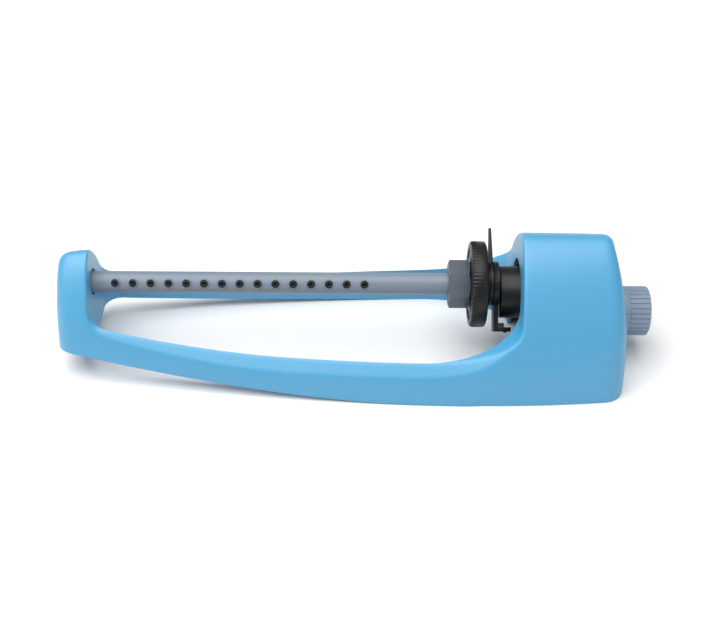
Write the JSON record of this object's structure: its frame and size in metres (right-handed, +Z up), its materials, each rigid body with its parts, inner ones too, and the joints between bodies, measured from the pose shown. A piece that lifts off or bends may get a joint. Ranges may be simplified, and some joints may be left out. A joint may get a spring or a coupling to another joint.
{
  "type": "oscillating sprinkler",
  "caption": "Oscillating lawn sprinkler: hollow sled frame, swinging spray tube with a row of jets, flow dial, stop rings, water motor and hose nut.",
  "frame": {"origin": "centre of the footprint of the bounding box, on the ground", "axes": "+X towards the hose nut, +Z up, the jets point towards -Y at rest"},
  "size_m": [0.4139, 0.13, 0.0965],
  "materials": {
    "frame_blue": "satin moulded",
    "tube_grey": "satin",
    "hex_grey": "satin",
    "hose_grey": "satin",
    "black_plastic": "satin",
    "jet_black": "soft matt",
    "gear_white": "acetal",
    "lever_orange": "acetal",
    "seal_rubber": "matt",
    "steel": "bright"
  },
  "bodies": {
    "base": {"frame": "frame_blue", "base_cover": "black_plastic", "cover_screws": "steel", "end_bush": "black_plastic", "gear_case": "black_plastic", "gear_case_cover": "black_plastic", "case_gasket": "seal_rubber", "case_screws": "steel", "bearing_plate": "gear_white", "inlet_spigot": "black_plastic", "inlet_filter": "gear_white", "idler_axle": "steel", "trip_axle": "steel", "detent_spring": "steel"},
    "spray_arm": {"spray_tube": "tube_grey", "jet_inserts": "jet_black", "tube_plug": "black_plastic", "plug_seal": "seal_rubber", "coupling_nut": "hex_grey", "coupling_seal": "seal_rubber", "drive_shaft": "black_plastic", "shaft_seal": "seal_rubber", "output_gear": "gear_white"},
    "dial": {"flow_dial": "black_plastic"},
    "fin_ring": {"stop_ring_fin": "black_plastic"},
    "thumb_ring": {"stop_ring_thumb": "black_plastic"},
    "turbine": {"turbine_wheel": "gear_white", "turbine_pinion": "gear_white"},
    "idler": {"idler_gear": "gear_white"},
    "lever": {"trip_lever": "lever_orange"},
    "hose_end": {"hose_nut": "hose_grey", "hose_washer": "seal_rubber"}
  },
  "joints": [
    {"name": "tube_sweep", "type": "hinge", "parent": "base", "child": "spray_arm", "pos_m": [0, 0, 0.056], "axis": [-1, 0, 0], "range_deg": [-2, 118]},
    {"name": "flow_dial_turn", "type": "hinge", "parent": "spray_arm", "child": "dial", "pos_m": [0.08, 0, 0.056], "axis": [-1, 0, 0], "range_deg": [0, 90]},
    {"name": "fin_ring_turn", "type": "hinge", "parent": "spray_arm", "child": "fin_ring", "pos_m": [0.09, 0, 0.056], "axis": [-1, 0, 0], "range_deg": [-50, 30]},
    {"name": "thumb_ring_turn", "type": "hinge", "parent": "spray_arm", "child": "thumb_ring", "pos_m": [0.095, 0, 0.056], "axis": [-1, 0, 0], "range_deg": [-30, 50]},
    {"name": "idler_spin", "type": "hinge", "parent": "base", "child": "idler", "pos_m": [0.14, 0.01169, 0.04393], "axis": [-1, 0, 0], "continuous": true},
    {"name": "turbine_spin", "type": "hinge", "parent": "base", "child": "turbine", "pos_m": [0.14, 0, 0.033], "axis": [-1, 0, 0], "continuous": true},
    {"name": "trip_lever_tilt", "type": "hinge", "parent": "base", "child": "lever", "pos_m": [0.14, -0.016, 0.05], "axis": [-1, 0, 0], "range_deg": [-12, 12]},
    {"name": "hose_nut_spin", "type": "hinge", "parent": "base", "child": "hose_end", "pos_m": [0.2, 0, 0.033], "axis": [1, 0, 0], "continuous": true}
  ],
  "couplings": [
    {"joint": "idler_spin", "follows": "tube_sweep", "ratio": -3.2},
    {"joint": "turbine_spin", "follows": "tube_sweep", "ratio": 9.6}
  ]
}
